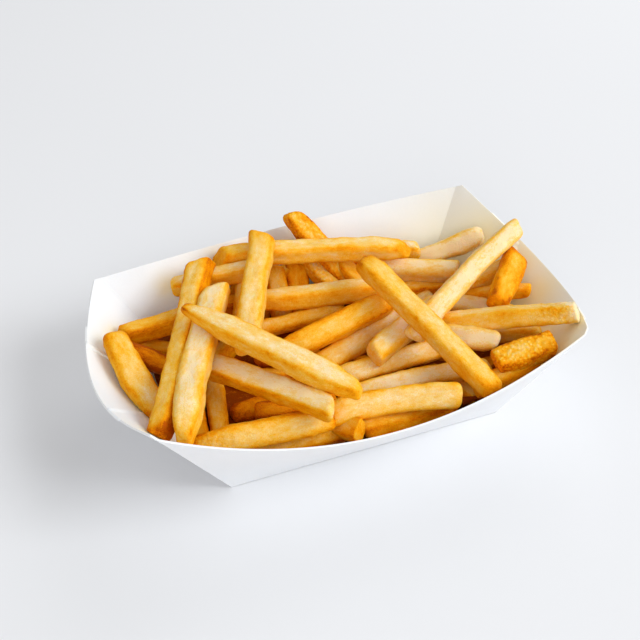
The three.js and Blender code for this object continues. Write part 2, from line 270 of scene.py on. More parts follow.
# ---------------------------------------------------------------- meshes
def make_object(name, vertices, faces, material, attributes=None):
    """A mesh from metres; attributes maps a name to one number or one vector a vertex."""
    mesh = bpy.data.meshes.new(name)
    mesh.from_pydata([tuple(v) for v in vertices], [], faces)
    for key, values in (attributes or {}).items():
        values = np.asarray(values, dtype=np.float32)
        if values.ndim == 1:
            layer = mesh.attributes.new(key, "FLOAT", "POINT")
            layer.data.foreach_set("value", values)
        else:
            layer = mesh.attributes.new(key, "FLOAT_VECTOR", "POINT")
            layer.data.foreach_set("vector", values.ravel())
    mesh.polygons.foreach_set("use_smooth", [True] * len(mesh.polygons))
    mesh.materials.append(material)
    mesh.validate()
    mesh.update()
    made = bpy.data.objects.new(name, mesh)
    bpy.context.collection.objects.link(made)
    return made


# ---------------------------------------------------------------- tray
# Lengths from here on are millimetres, apart from those of the stage.
BASE_HALF_X = 50
BASE_HALF_Y = 33.3
PAPER = 0.6
# Rim points in the quarter where x and y are positive; the other quarters mirror them.
CREASE_TOP = (72, 46.9, 42.1)
PEAK = (73.9, 45.2, 43.2)
# How far each corner sits off that place, by the signs of its x and y.
CORNER_SHIFT = {
    (1, 1): (-1.4, 1.5, 1.1),
    (1, -1): (-0.9, -0.1, -0.3),
    (-1, -1): (-1.6, 1.3, 1.8),
    (-1, 1): (-2.3, -1.7, -3.6),
}
# Middle of each rim, by the sign of its y or x.
SIDE_MIDDLE = {-1: (-3, -56.4, 30.9), 1: (2.8, 56.4, 35.9)}
END_MIDDLE = {-1: (-86.2, 0.3, 31.7), 1: (86.2, -1.5, 31.1)}
# Each end is glued up of a panel outside and two corner flaps inside. Their edges lie at shares of
# the end's half width.
PANEL_EDGES = {-1: (-0.62, 0.58), 1: (-0.78, 0.72)}
FLAP_EDGES = (-0.42, 0.38)
FLAP_EDGE_BASE = 0.06
FLAP_ROUNDING = {-1: 2, 1: 7}
PANEL_LIFT = 0.7
STEP_WIDTH = 0.004
# Oil stain in the paper, with painted warm light that the fries reflect: full up to the first distance
# below from a fry's axis, then fading over a reach that grows from the first reach below to the second
# between the two x below. The long reach towards the right end is the painted reflected light.
OIL_AND_BOUNCE_FROM = 4
OIL_AND_BOUNCE_REACH = (2.5, 13)
BOUNCE_RIGHT = (25, 60)
LONG_SIDE_STEPS = 72
END_STEPS = 60
WALL_ROWS = (0, 0.12, 0.25, 0.38, 0.5, 0.6, 0.7, 0.78, 0.84, 0.87, 0.9, 0.92, 0.94, 0.96, 0.98, 1)
SHARP_FOLD = 14
FAR = 99.0


def arc_point(start, middle, end, share):
    control = 2 * middle - 0.5 * (start + end)
    return (1 - share) ** 2 * start + 2 * share * (1 - share) * control + share ** 2 * end


def corner(point, sign_x, sign_y):
    mirrored = np.array([point[0] * sign_x, point[1] * sign_y, point[2]])
    return mirrored + CORNER_SHIFT[sign_x, sign_y]


def long_side(sign_y):
    start = corner(CREASE_TOP, -1, sign_y)
    end = corner(CREASE_TOP, 1, sign_y)
    columns = []
    for i in range(LONG_SIDE_STEPS + 1):
        share = i / LONG_SIDE_STEPS
        base = np.array([BASE_HALF_X * (2 * share - 1), BASE_HALF_Y * sign_y, 0])
        rim = arc_point(start, np.array(SIDE_MIDDLE[sign_y]), end, share)
        columns.append(dict(base=base, rim=rim, flap=0, panel=False, side=True))
    return columns


def end_side(sign_x):
    start = corner(PEAK, sign_x, -1)
    end = corner(PEAK, sign_x, 1)
    rounding = FLAP_ROUNDING[sign_x]
    panel_from, panel_to = PANEL_EDGES[sign_x]
    stops = [2 * i / END_STEPS - 1 for i in range(END_STEPS + 1)]
    for edge in (panel_from, panel_to, *FLAP_EDGES):
        stops = [s for s in stops if abs(s - edge) > STEP_WIDTH * 2]
        stops += [edge - STEP_WIDTH, edge + STEP_WIDTH]
    columns = []
    for stop in sorted(stops):
        size = abs(stop)
        flap_edge = abs(FLAP_EDGES[0] if stop < 0 else FLAP_EDGES[1])
        inside = min(size / flap_edge, 1) * FLAP_EDGE_BASE
        outside = max(0, (size - flap_edge) / (1 - flap_edge)) * (1 - FLAP_EDGE_BASE)
        share = math.copysign(inside + outside, stop)
        base = np.array([BASE_HALF_X * sign_x, BASE_HALF_Y * share, 0])
        rim = arc_point(start, np.array(END_MIDDLE[sign_x]), end, (stop + 1) / 2)
        past = (size - flap_edge) * PEAK[1]
        near = min(max(1 - past / rounding, 0), 1)
        drop = rounding * (1 - math.sqrt(1 - near ** 2))
        reach = 1 - drop / np.linalg.norm(rim - base) if past > 0 else 0
        panel = panel_from < stop < panel_to
        columns.append(dict(base=base, rim=rim, flap=reach, panel=panel, side=False))
    return columns


def add_inward(columns):
    """Gives each column of a wall its normal towards the inside of the tray."""
    for i, column in enumerate(columns):
        before = columns[max(i - 1, 0)]
        after = columns[min(i + 1, len(columns) - 1)]
        normal = np.cross(column["rim"] - column["base"], after["rim"] - before["rim"])
        normal /= np.linalg.norm(normal)
        column["normal"] = -normal if normal @ column["base"] > 0 else normal
    return columns


def tray_columns():
    """The wall all round, as columns from its foot to its rim."""
    front = add_inward(long_side(-1))
    right = add_inward(end_side(1))
    rear = add_inward(long_side(1))[::-1]
    left = add_inward(end_side(-1))[::-1]
    for earlier, later in ((front, right), (right, rear), (rear, left), (left, front)):
        a, b = earlier[-1], later[0]
        crease = a if a["side"] else b
        crease["normal"] = (a["normal"] + b["normal"]) / (1 + a["normal"] @ b["normal"])
    return front + right + rear + left


def wall_point(column, inwards, lift, bottom, height_share):
    """A point of the wall between its foot and its rim, moved inwards; lift raises the rim."""
    level = column["normal"] * np.array([1, 1, 0])
    low = column["base"] + level * inwards
    low[2] = bottom
    high = column["rim"] + column["normal"] * inwards
    high[2] += lift
    return low + (high - low) * height_share


def oil_and_bounce_near(points):
    """How much oil stain and painted warm reflected light the paper shows: 1 beside a fry, less away from
    it.
    """
    nearest = np.full(len(points), FAR)
    for start, end, *_ in FRIES.values():
        along = end - start
        share = np.clip((points - start) @ along / (along @ along), 0, 1)
        gap = np.linalg.norm(points - start - share[:, None] * along, axis=1)
        nearest = np.minimum(nearest, gap)
    right = np.clip((points[:, 0] - BOUNCE_RIGHT[0]) / (BOUNCE_RIGHT[1] - BOUNCE_RIGHT[0]), 0, 1) ** 2
    reach = OIL_AND_BOUNCE_REACH[0] + (OIL_AND_BOUNCE_REACH[1] - OIL_AND_BOUNCE_REACH[0]) * right
    return np.exp(-np.maximum(nearest - OIL_AND_BOUNCE_FROM, 0) / reach)


def make_tray(material):
    """One closed sheet: each column goes up its outer face and down its inner one."""
    columns = tray_columns()
    vertices = []
    for column in columns:
        lift = PANEL_LIFT if column["panel"] else 0
        outer = -PAPER if column["panel"] else 0
        vertices += [wall_point(column, outer, lift, 0, row) for row in WALL_ROWS]
        inner_lift = lift if column["flap"] < 1 else 0
        for row in reversed(WALL_ROWS):
            lone_panel = column["panel"] and row > column["flap"]
            inner = 0 if lone_panel else PAPER
            vertices.append(wall_point(column, inner, inner_lift, PAPER, row))
    ring = 2 * len(WALL_ROWS)
    count = len(columns)
    under_middle, floor_middle = count * ring, count * ring + 1
    vertices += [np.array([0, 0, 0.0]), np.array([0, 0, PAPER])]
    faces = []
    for i in range(count):
        a = i * ring
        b = ((i + 1) % count) * ring
        for k in range(ring - 1):
            faces.append((a + k, b + k, b + k + 1, a + k + 1))
        faces.append((under_middle, b, a))
        faces.append((floor_middle, a + ring - 1, b + ring - 1))
    vertices = np.array(vertices)
    inside = np.arange(len(vertices)) % ring >= len(WALL_ROWS)
    # Oil stain and painted warm reflected light beside the fries; the rest of the inner faces takes the
    # painted cool cast.
    oil_and_bounce = oil_and_bounce_near(vertices) * inside
    made = make_object("paper_tray", vertices * MM, faces, material,
                       dict(oil_and_bounce=oil_and_bounce, inside=inside * (1 - oil_and_bounce)))
    made.data.set_sharp_from_angle(angle=math.radians(SHARP_FOLD))
    return made


# ---------------------------------------------------------------- one fry
AROUND = 36
ALONG_STEP = 1.15
# Browning from 0, creamy, to 1, dark: of a whole fry, and what its long edges and its cut ends add, with
# the painted shade that its flanks add.
PALE = 0.10
FLANK_SHADE = 0.24
EDGE_BROWN = 0.27
CUT_BROWN = 0.12
# Random spread of the browning, from fry to fry and from face to face.
FRY_SPREAD = 0.04
FACE_SPREAD = 0.07
# How sharply the flanks begin, and where and how the brown of an edge begins.
FLANK_SHARP = 2.2
RIDGE_FROM = 0.15
RIDGE_POWER = 1.7
# Share of the half size that the corners of a section round off.
CORNERS = (0.5, 0.74)
# Points of a dense path round the section, and how far a rounded corner draws it in.
FACE_POINTS = 40
CORNER_POINTS = 30
CORNER_CUT = 0.29
# Sections that round an end: angles on the rounding, and shares of the flat cut inside it.
CAP_ANGLES = (0, 25, 50, 72, 90)
CUT_RINGS = (0.3, 0.65)
ROUNDING_MOST = 0.9
# Slow unevenness along the length: its amount, and how many sections one swing takes.
SIZE_SWING = (0.06, 12)
WANDER_ACROSS = (0.4, 16)
WANDER_OVER = (0.3, 16)
TAN_SWING = (0.05, 10)
TWIST_MOST = 5
# An end's taper grows by this power, and acts on the height by this share.
TAPER_POWER = 1.3
TAPER_OVER = 0.8
# The four faces are sunk up to DISH_MOST between the corners, over a width set by DISH_NARROW.
DISH_MOST = 0.05
DISH_NARROW = 1.3
ON_FACE = 0.9
LEAN_MOST = 0.07
SKEW_MOST = 0.08
# How far from an end its slant, its brown rim, its crisp skin and its tan reach, and how much of
# the browning the tan takes.
SLANT_REACH = 5.5
END_BROWN_REACH = 2.6
END_CRISP_REACH = 13
END_TAN_REACH = 9
END_TAN = 0.4
# Lumps of the surface, and patches of its brown edges: amount and frequency.
LUMPS = ((0.34, 0.16), (0.24, 0.42), (0.1, 1.15))
EDGE_PATCHES = ((0.5, 0.14), (0.4, 0.6))
EDGE_PATCH_BASE = 0.85
BLISTER_FREQUENCY = 0.75
BLISTER_PLACE = Vector((9, 4, 2))
BLISTER_HEIGHT = 0.5
BLISTER_BROWN = 0.12
CRUMBS = (0.22, 1.7)
CRISP_LEAST = 0.02
# Each fry has its own piece of the grain, moved by up to this much along each axis.
GRAIN_SPREAD = 400


def rounded_section(corner, around):
    """Points evenly along a square of half width 1 with rounded corners, and how near each is to one."""
    dense = []
    for quarter in range(4):
        turn = quarter * math.pi / 2
        c, s = math.cos(turn), math.sin(turn)
        path = [(1, y) for y in np.linspace(-(1 - corner), 1 - corner, FACE_POINTS)]
        path += [(1 - corner + corner * math.cos(t), 1 - corner + corner * math.sin(t))
                 for t in np.linspace(0, math.pi / 2, CORNER_POINTS)[1:-1]]
        dense += [(x * c - y * s, x * s + y * c) for x, y in path]
    dense = np.array(dense + dense[:1])
    steps = np.linalg.norm(np.diff(dense, axis=0), axis=1)
    walked = np.concatenate([[0], np.cumsum(steps)])
    wanted = (np.arange(around) + 0.5) / around * walked[-1]
    points = np.stack([np.interp(wanted, walked, dense[:, k]) for k in range(2)], axis=1)
    edge = np.minimum(np.abs(points[:, 0]), np.abs(points[:, 1])) / (1 - corner * CORNER_CUT)
    return points, edge


def smooth_curve(rng, count, ease):
    """Random values that change slowly, from -1 to 1."""
    keys = max(3, int(count / ease) + 2)
    values = np.array([rng.uniform(-1, 1) for _ in range(keys)])
    x = np.linspace(0, keys - 1.001, count)
    i = x.astype(int)
    f = x - i
    f = f * f * (3 - 2 * f)
    return values[i] * (1 - f) + values[i + 1] * f


def noise_sum(place, layers, base=0):
    return sum((amount * noise.noise(place * frequency) for amount, frequency in layers), base)


def vertex_normals(vertices, faces):
    quads = np.array([f if len(f) == 4 else (*f, f[-1]) for f in faces])
    a, b, c, d = (vertices[quads[:, k]] for k in range(4))
    face = np.cross(c - a, d - b)
    triangles = quads[:, 2] == quads[:, 3]
    face[triangles] = np.cross((b - a)[triangles], (c - a)[triangles])
    normals = np.zeros_like(vertices)
    for k in range(4):
        np.add.at(normals, quads[:, k], face)
    return normals / np.maximum(np.linalg.norm(normals, axis=1, keepdims=True), 1e-9)


def random_end(rng):
    """How an end is cut where the table says nothing about it."""
    return dict(taper=rng.uniform(0.8, 0.96), reach=rng.uniform(5, 11), slant=rng.uniform(-0.35, 0.35),
                slant_over=rng.uniform(-0.3, 0.3), round=rng.uniform(1.3, 2.2),
                brown=rng.uniform(0.08, 0.2), crisp=0.0)


def fry_sections(length, rounding, half, step):
    """Places of the sections along a fry, and the size of each, which shrinks on the rounded ends."""
    cap = [(1 - math.cos(a), math.sin(a)) for a in np.radians(CAP_ANGLES)]
    ends = []
    for radius in rounding:
        flat = 1 - radius / half
        ends.append([(0.0, share * flat) for share in CUT_RINGS]
                    + [(radius * near, 1 - radius / half * (1 - wide)) for near, wide in cap])
    count = max(4, int((length - rounding[0] - rounding[1]) / step))
    between = np.linspace(rounding[0], length - rounding[1], count + 1)[1:-1]
    opening = [(length - gap, size) for gap, size in reversed(ends[1])]
    sections = np.array(ends[0] + [(place, 1.0) for place in between] + opening)
    return sections[:, 0], sections[:, 1]


def tube_faces(count, around):
    """Quads between the sections, and fans that close both ends at the two vertices after them."""
    faces = []
    for i in range(count - 1):
        a = i * around
        for k in range(around):
            n = (k + 1) % around
            faces.append((a + k, a + around + k, a + around + n, a + n))
    first, last = count * around, count * around + 1
    tail = (count - 1) * around
    for k in range(around):
        n = (k + 1) % around
        faces.append((first, k, n))
        faces.append((last, tail + n, tail + k))
    return faces


def fry_mesh(start, end, width, height, seed, roll=0, twist=0, bow=0, arch=0, brown=0.0, crisp=0.0,
             sides=FLANK_SHADE, first=None, last=None, around=AROUND, step=ALONG_STEP):
    """One fry. first and last say of its start and its end: taper, its reach, slant across and over,
    rounding of the cut, browning and crispness. Angles in degrees, lengths in millimetres."""
    rng = random.Random(seed)
    along = end - start
    length = np.linalg.norm(along)
    along /= length
    level = np.cross(along, (0, 0, 1))
    level /= np.linalg.norm(level)
    upright = np.cross(level, along)
    plain = random_end(rng)
    cuts = [{**plain, **(given or {})} for given in (first, last)]
    section, edge = rounded_section(rng.uniform(*CORNERS), around)
    half_w, half_h = width / 2, height / 2
    small = min(half_w, half_h)
    rounding = [min(cut["round"], ROUNDING_MOST * small) for cut in cuts]
    distance, size = fry_sections(length, rounding, small, step)
    count = len(distance)
    share = distance / length

    def swing(amount, ease):
        return amount * smooth_curve(rng, count, ease)

    vary_w = 1 + swing(*SIZE_SWING)
    vary_h = 1 + swing(*SIZE_SWING)
    wander_across = swing(*WANDER_ACROSS)
    wander_over = swing(*WANDER_OVER)
    tan = swing(*TAN_SWING)
    twist = twist + rng.uniform(-TWIST_MOST, TWIST_MOST)
    for cut, gap in ((cuts[0], distance), (cuts[1], length - distance)):
        near = np.clip(1 - gap / cut["reach"], 0, 1) ** TAPER_POWER
        vary_w *= 1 - (1 - cut["taper"]) * near
        vary_h *= 1 - TAPER_OVER * (1 - cut["taper"]) * near
    bend = 4 * share * (1 - share)
    centre = start + along * distance[:, None]
    centre = centre + level * (bow * bend + wander_across)[:, None]
    centre = centre + upright * (arch * bend + wander_over)[:, None]

    x, y = section.T
    sunk = [rng.uniform(0.0, DISH_MOST) for _ in range(4)]
    dish_x = np.where(x > 0, sunk[0], sunk[1]) * np.clip(1 - y ** 2 * DISH_NARROW, 0, 1)
    dish_y = np.where(y > 0, sunk[2], sunk[3]) * np.clip(1 - x ** 2 * DISH_NARROW, 0, 1)
    lean = rng.uniform(-LEAN_MOST, LEAN_MOST)
    skew = rng.uniform(-SKEW_MOST, SKEW_MOST)
    xs = x * (1 - dish_x * (np.abs(x) > ON_FACE)) * (1 + lean * y) + skew * y
    ys = y * (1 - dish_y * (np.abs(y) > ON_FACE))
    face_brown = [rng.uniform(-FACE_SPREAD, FACE_SPREAD) for _ in range(4)]
    # Painted shade on the flanks, added to each face's own random tone.
    flank = np.clip((np.abs(x) - np.abs(y)) * FLANK_SHARP + 0.5, 0, 1)
    ridge = EDGE_BROWN * np.clip((edge - RIDGE_FROM) / (1 - RIDGE_FROM), 0, 1) ** RIDGE_POWER
    face_tone_and_flank_shade = flank * (sides + np.where(x > 0, face_brown[0], face_brown[1]))
    face_tone_and_flank_shade = face_tone_and_flank_shade + (1 - flank) * np.where(y > 0, face_brown[2], face_brown[3])
    tone = PALE + brown + rng.uniform(-FRY_SPREAD, FRY_SPREAD)
    offset = np.array([rng.uniform(0, GRAIN_SPREAD) for _ in range(3)])

    vertices, grain, brown_and_shade, ridges, crispness = [], [], [], [], []
    for i in range(count):
        angle = math.radians(roll + twist * share[i])
        across = level * math.cos(angle) + upright * math.sin(angle)
        over = np.cross(across, along)
        px = xs * half_w * vary_w[i] * size[i]
        py = ys * half_h * vary_h[i] * size[i]
        shift = np.zeros(around)
        gaps = (distance[i], length - distance[i])
        on_side = np.clip(min(gaps[0] / rounding[0], gaps[1] / rounding[1]), 0, 1)
        value = tone + tan[i] + on_side * face_tone_and_flank_shade + (1 - on_side) * CUT_BROWN
        crust = crisp
        for cut, gap, sign in zip(cuts, gaps, (-1, 1)):
            fade = math.exp(-(gap / SLANT_REACH) ** 2)
            shift += fade * (cut["slant"] * px + cut["slant_over"] * py) * sign
            rim = math.exp(-(gap / END_BROWN_REACH) ** 2)
            value = value + cut["brown"] * (rim + END_TAN * math.exp(-(gap / END_TAN_REACH) ** 2))
            crust = max(crust, cut["crisp"] * math.exp(-(gap / END_CRISP_REACH) ** 4))
        vertices.append(centre[i] + across * px[:, None] + over * py[:, None] + along * shift[:, None])
        grain.append(offset + np.stack([np.full(around, distance[i]) + shift, px, py], axis=1))
        brown_and_shade.append(value)
        ridges.append(on_side * ridge)
        crispness.append(np.full(around, crust))
    ends = (slice(0, around), slice((count - 1) * around, count * around))
    vertices, grain = (np.concatenate(rows) for rows in (vertices, grain))
    vertices = np.vstack([vertices, *(vertices[ring].mean(axis=0) for ring in ends)])
    grain = np.vstack([grain, *(grain[ring].mean(axis=0) for ring in ends)])
    brown_and_shade, crispness = np.concatenate(brown_and_shade), np.concatenate(crispness)
    brown_and_shade = np.append(brown_and_shade, [brown_and_shade[ring].mean() for ring in ends])
    crispness = np.append(crispness, [crispness[0], crispness[-1]])
    ridges = np.append(np.concatenate(ridges), [0, 0])

    lift = np.empty(len(vertices))
    for i, place in enumerate(Vector(p) for p in grain):
        lift[i] = noise_sum(place, LUMPS)
        brown_and_shade[i] += ridges[i] * noise_sum(place, EDGE_PATCHES, EDGE_PATCH_BASE)
        if crispness[i] > CRISP_LEAST:
            blister = noise.noise(place * BLISTER_FREQUENCY + BLISTER_PLACE)
            crumbs = CRUMBS[0] * noise.noise(place * CRUMBS[1])
            lift[i] += crispness[i] * (BLISTER_HEIGHT * abs(blister) + crumbs)
            brown_and_shade[i] += crispness[i] * BLISTER_BROWN * blister
    faces = tube_faces(count, around)
    vertices = vertices + vertex_normals(vertices, faces) * lift[:, None]
    return vertices, faces, brown_and_shade, crispness, grain


# ---------------------------------------------------------------- the fries that show
def stick(start, end, width, height, **more):
    """A fry's ends, its size and how it differs from the plain one, as fry_mesh takes them."""
    return np.array(start, dtype=float), np.array(end, dtype=float), width, height, more


# Every fry that shows, under a label of its own, roughly from the lowest to the highest.
# Some browns below hold painted light or shade besides the fry's own browning: K1, R7 and M3, which other
# fries shade, are paler, and some that lie deep are darker. Their flanks get painted shade as well.
FRIES = {
    "P1": stick((-44, 9, 17), (-51, -28, 14), 7, 6.6, brown=0.2),
    "P2": stick((-53, 1, 17), (-58, -28, 16), 6, 6, brown=0.32),
    "P3": stick((-35.6, 13.8, 7), (-38, -15.7, 6), 7, 7, brown=0.3),
    "P4": stick((-37, -21, 19), (-9, -23, 17), 6.8, 6.6, roll=-30, brown=0.46),
    "Q1": stick((-46, -34, 15), (-11, -37, 16), 6.8, 6.4, brown=0.2, roll=-30),
    "Q2": stick((-16.4, -26.6, 14), (-7.5, -43.2, 21), 8, 7.4, roll=-20, brown=0.04,
                last=dict(round=0.8, taper=1, brown=0.2)),
    "Q3": stick((-5.5, -39.5, 17), (30, -39, 16), 7.4, 7, brown=0.32),
    "R1": stick((30, -19, 14), (39, -37, 14), 7, 6.6, brown=0.1),
    "F1": stick((-2, -23, 19), (47, -29, 20), 7, 6.8, roll=-30, brown=-0.02),
    "F2": stick((-6, -13, 17), (38, -13, 19), 8, 7.4, roll=-35, brown=-0.02),
    "N1": stick((-7.4, 46, 26), (-11, 24, 8), 8.4, 6.6, brown=0.2),
    "N2": stick((1.6, 46, 25), (-3, 22, 8), 9, 6.6, brown=0.42),
    "U2": stick((5, 46, 28), (13, 25, 19), 6.8, 6.4, crisp=0.6, brown=0.05),
    "U3": stick((15, 42, 29), (24, 20, 20), 7.4, 7, brown=0.2),
    "S1": stick((-30, 19, 19), (11, 19, 20), 7, 6.4, roll=-25, brown=0.2),
    "D2": stick((-9, -6, 18), (47, 15.9, 17), 8.8, 8, roll=-25, brown=0.0,
                last=dict(round=2.8, taper=0.9, brown=0.0)),
    "K2": stick((34, 39, 27.5), (49, 33.5, 27.5), 6.6, 6.2, brown=-0.06, crisp=0.4, last=dict(brown=0)),
    "K1": stick((33, 39, 15), (71.9, 25.9, 34.5), 8.4, 7.6, roll=-52, brown=-0.18, sides=0.1,
                last=dict(round=2.8, taper=0.85, reach=9, brown=0)),
    "J1": stick((25.2, 33.4, 25), (58.5, 18.8, 25), 7.8, 8.8, roll=-24, brown=-0.06, sides=0.04,
                last=dict(round=1.2, taper=0.95)),
    "J2": stick((33, 22.5, 18), (56.6, 19, 18), 7, 7, brown=0.3),
    "R4": stick((51, 11, 22), (76, 11, 28), 7, 6.8, brown=0.0),
    "R3": stick((55.5, 8.6, 20.6), (77.1, -4.1, 27.9), 5.8, 5.8, brown=0.2),
    "R6": stick((46.6, 8, 21.7), (68.1, -8.8, 21.6), 7, 6.4, roll=-30, brown=-0.18),
    "R11": stick((45, -8, 17), (70, -24, 26), 6.8, 6.4),
    "R7": stick((37.5, -13.2, 24), (52.4, -25.3, 27), 8, 7, roll=-40, brown=-0.2,
                last=dict(round=2.6, taper=0.8, brown=0)),
    "R9": stick((35, -41.2, 24), (59.8, -38.9, 26), 6.8, 6.6, brown=0.2),
    "R8": stick((44, -37, 30), (65, -38.1, 33), 9.8, 8.8, crisp=0.65, brown=0.25, roll=-14, sides=0.26,
                first=dict(round=1.2), last=dict(round=1)),
    "R2": stick((77.1, 9.3, 34), (58.2, -12.3, 32), 9, 7, brown=0.27, sides=0.1, roll=22,
                first=dict(round=0.9, taper=1.05, slant=0.45)),
    "R5": stick((38, -6, 25), (76.5, -33.6, 40), 7.4, 7, brown=0.1, roll=18, sides=0.12,
                last=dict(crisp=0.45, taper=1, reach=6, round=0.8, slant=0.1, brown=-0.3)),
    "L3": stick((-72, 16, 28), (-50.5, 2.6, 19.6), 7.4, 6.8, brown=0.68, roll=-30),
    "L4": stick((-67, 23, 21), (-50, 18, 16), 7.4, 7, brown=0.4),
    "L2": stick((-71.8, 23.9, 27.5), (-26, 31, 24), 7.8, 7.4, brown=0.26),
    "L1": stick((-74.7, 18.9, 32.9), (-67.6, -13.5, 22.5), 9.6, 7.6, brown=0.16, bow=1,
                first=dict(round=2.8, brown=0.25)),
    "V1": stick((-18, 47, 29), (-33.5, 8.3, 24.7), 7.2, 7, brown=0.15),
    "V2": stick((-21, 44, 24), (-31, 28, 17), 7, 7, brown=0.3),
    "W1": stick((-49, 41, 30), (-16, 35, 35), 7, 6.8, brown=0.06),
    "E1": stick((8.5, -14.5, 25), (43, 6.8, 22), 9.2, 8.2, roll=-20, brown=-0.06,
                first=dict(round=2.0, brown=0.05, slant=0.3)),
    "H2": stick((-20, 27, 27), (32, 18, 27), 8.4, 8, bow=1.2, roll=8, sides=0.3),
    "D1": stick((-22, -3, 26), (25, 8.3, 27.5), 8.8, 8.2, roll=-34, brown=0.22,
                first=dict(taper=0.8, round=2), last=dict(round=2.6)),
    "BL": stick((-61, -32, 24), (-15.6, -38.6, 25.4), 8.8, 8.2, bow=0.6, roll=-42, brown=0.08,
                first=dict(taper=0.6, reach=14, brown=0.3, crisp=0.35), last=dict(brown=0.3, taper=0.8)),
    "BR": stick((-15, -34, 22), (28, -44, 26), 8.6, 8, bow=-2.6, roll=-42, brown=-0.04,
                last=dict(round=2.2)),
    "M3": stick((-49, 1, 26.5), (-17.6, -44.4, 35.2), 8.4, 7.8, bow=-0.8, roll=-14, brown=-0.12,
                sides=0.6, last=dict(taper=0.97, slant=0.45, slant_over=0.3, round=2.4, brown=0.1)),
    "U1": stick((1.5, 51.5, 45.3), (22, 30, 16), 8.8, 8.2, brown=0.3, crisp=0.5, roll=-30,
                first=dict(slant=0.35, round=2.6, taper=0.72, reach=10, brown=0.0)),
    "H1": stick((-29, 46, 35), (39, 26, 36), 8.4, 8, bow=-1, arch=0.6, brown=0.1, sides=0.2,
                first=dict(round=0.9, slant_over=-0.6), last=dict(taper=0.7, reach=10, slant_over=-0.8)),
    "G1": stick((80.1, 15.6, 42), (24.3, -13.5, 27.6), 8, 7.2, bow=1.6, brown=-0.15, roll=32,
                first=dict(taper=0.9, reach=8, slant=0.4, round=1.0, brown=0.05)),
    "T1": stick((-36.8, 42.5, 37), (-71.9, -34, 33), 8, 7.4, bow=-0.6, roll=-12, twist=-8, brown=0.1,
                sides=0.42, first=dict(taper=1.22, reach=26, round=1.8, slant=-0.35),
                last=dict(brown=0.4, round=1.6)),
    "T2": stick((-34.9, 26.3, 37.6), (-65.4, -40.4, 35), 9.5, 8.2, bow=1.4, brown=-0.06,
                first=dict(taper=0.85, reach=10, round=2.2, slant=-0.5, brown=0.08),
                last=dict(taper=0.5, reach=15, slant=-0.4)),
    "T3": stick((-12.9, 42.8, 42.3), (-35, -8, 36), 8.8, 8.2, brown=-0.04,
                first=dict(taper=1.1, reach=8, round=0.8), last=dict(taper=0.8)),
    "X1": stick((-51, 11, 45), (-8, -43, 40), 8.8, 8.2, bow=0.7, brown=0.04, roll=-10, sides=0.34,
                first=dict(taper=0.3, reach=21, brown=0.36, round=1.4),
                last=dict(taper=0.5, reach=12, brown=0.16)),
    "X2": stick((17, 18, 42), (38.4, -48, 27.7), 8.6, 8.2, brown=0.17, sides=0.06,
                first=dict(taper=0.7, reach=8, round=2.4, brown=0.36), last=dict(taper=0.85, reach=10)),
}


# ---------------------------------------------------------------- room inside the tray
# Only points beyond these half sizes can meet a wall.
NEAR_WALL_X = 46
NEAR_WALL_Y = 31
WALL_MARGIN = 1.2
PUSH_MOST = 9
OVER_RIM = 0.4
# A point counts for the stretches of wall beside it, from here to there along each.
BESIDE = (-0.6, 1.6)


def keep_inside(vertices, columns):
    """Moves points of a fry that would pass through a wall level inwards, up to its inner face."""
    base = np.array([c["base"] for c in columns])
    rim = np.array([c["rim"] for c in columns])
    far = (np.abs(vertices[:, 0]) > NEAR_WALL_X) | (np.abs(vertices[:, 1]) > NEAR_WALL_Y)
    ids = np.nonzero(far)[0]
    points = vertices[ids]
    share = np.clip(points[:, 2:3] / rim[None, :, 2], 0, 1)
    ring = base[None, :, :2] + (rim - base)[None, :, :2] * share[..., None]
    edge = np.roll(ring, -1, axis=1) - ring
    size = np.maximum(np.linalg.norm(edge, axis=-1), 1e-6)
    inward = np.stack([-edge[..., 1], edge[..., 0]], axis=-1) / size[..., None]
    rel = points[:, None, :2] - ring
    gap = (rel * inward).sum(-1)
    place = (rel * edge).sum(-1) / size ** 2
    gap[(place < BESIDE[0]) | (place > BESIDE[1])] = FAR
    gap[points[:, 2:3] > rim[None, :, 2] + OVER_RIM] = FAR
    nearest = gap.argmin(axis=1)
    rows = np.arange(len(ids))
    push = np.clip(WALL_MARGIN - gap[rows, nearest], 0, PUSH_MOST)
    points[:, :2] += inward[rows, nearest] * push[:, None]
    vertices[ids] = points
    return vertices


# How far the walls lean out, for each millimetre of height.
LEAN_OF_ENDS = 0.95
LEAN_OF_SIDES = 0.5


def room_at(height, margin):
    """Inside half sizes of the tray at a height, less a margin to the walls."""
    return BASE_HALF_X + LEAN_OF_ENDS * height - margin, BASE_HALF_Y + LEAN_OF_SIDES * height - margin


# ---------------------------------------------------------------- what lies below them
# Two fries low along the rear wall, behind the ones that lean on it.
REAR_FILLERS = [((-26, 43, 21), (2, 44, 23)), ((4, 44, 22), (31, 42.5, 22))]
# Places of a gap between the shown fries that stays open down to the bed, and how high it reaches.
OPEN_GAP = ((-40, -4), (-36, -7), (-32, -9))
OPEN_GAP_TOP = 20.0
# Height of each layer of fillers, and how many of them it takes at most.
FILLER_LAYERS = ((8.5, 14), (12, 26), (15, 30))
FILLER_TRIES = 4000
FILLER_HALF_LENGTHS = (8, 26)
FILLER_TILT = 0.12
FILLER_GAP = 4.9
FILLER_LOWEST = 4.4
MIDDLE_MARGIN = 5.2
END_MARGIN = 4.6
# Limit for the shares of both half sizes together, which keeps fillers out of the corners.
CORNER_LIMIT = 1.75
FILLER_WIDTHS = (6.4, 7.4)
FILLER_HEIGHTS = (6.2, 7)
FILLER_ROLLS = (-25, 25)
FILLER_BROWNS = (0.2, 0.5)
FILLER_AROUND = 20
FILLER_STEP = 2.2
# Seeds: where the fillers lie, what sizes they have, and the first of each heap's fries.
LAYING_SEED = 20
FILLER_SEED = 7
SHOWN_SEEDS = 100
BELOW_SEEDS = 500

